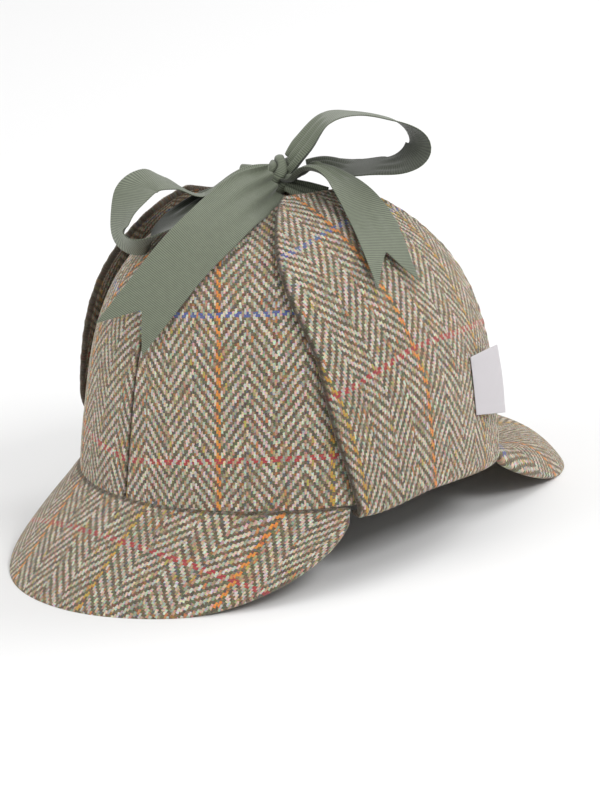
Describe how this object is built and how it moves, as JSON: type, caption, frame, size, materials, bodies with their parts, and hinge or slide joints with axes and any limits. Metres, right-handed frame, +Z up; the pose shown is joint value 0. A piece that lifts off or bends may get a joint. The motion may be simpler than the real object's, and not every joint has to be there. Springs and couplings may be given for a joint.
{
  "type": "deerstalker hat",
  "caption": "Deerstalker hat in herringbone tweed: a domed crown, a peak at the front and back, and ear flaps tied up over the top with a ribbon bow.",
  "frame": {"origin": "on the floor under the middle of the hat's box, between the two peaks it stands on", "axes": "+Z up, -Y towards the front peak, +X towards the wearer's left ear"},
  "size_m": [0.1806, 0.3025, 0.1923],
  "materials": {
    "tweed": "herringbone wool tweed with a coloured overcheck",
    "grosgrain": "ribbed sage green grosgrain ribbon",
    "label_cloth": "bare white woven satin"
  },
  "bodies": {
    "root": {"crown_front_left": "tweed", "crown_rear_left": "tweed", "crown_rear_right": "tweed", "crown_front_right": "tweed", "front_peak": "tweed", "rear_peak": "tweed", "left_ear_flap": "tweed", "right_ear_flap": "tweed", "woven_label": "label_cloth", "bow_knot": "grosgrain", "large_loop": "grosgrain", "small_loop": "grosgrain", "front_tail": "grosgrain", "side_tail": "grosgrain", "right_tie_root": "grosgrain", "left_tie_root": "grosgrain"}
  },
  "joints": []
}
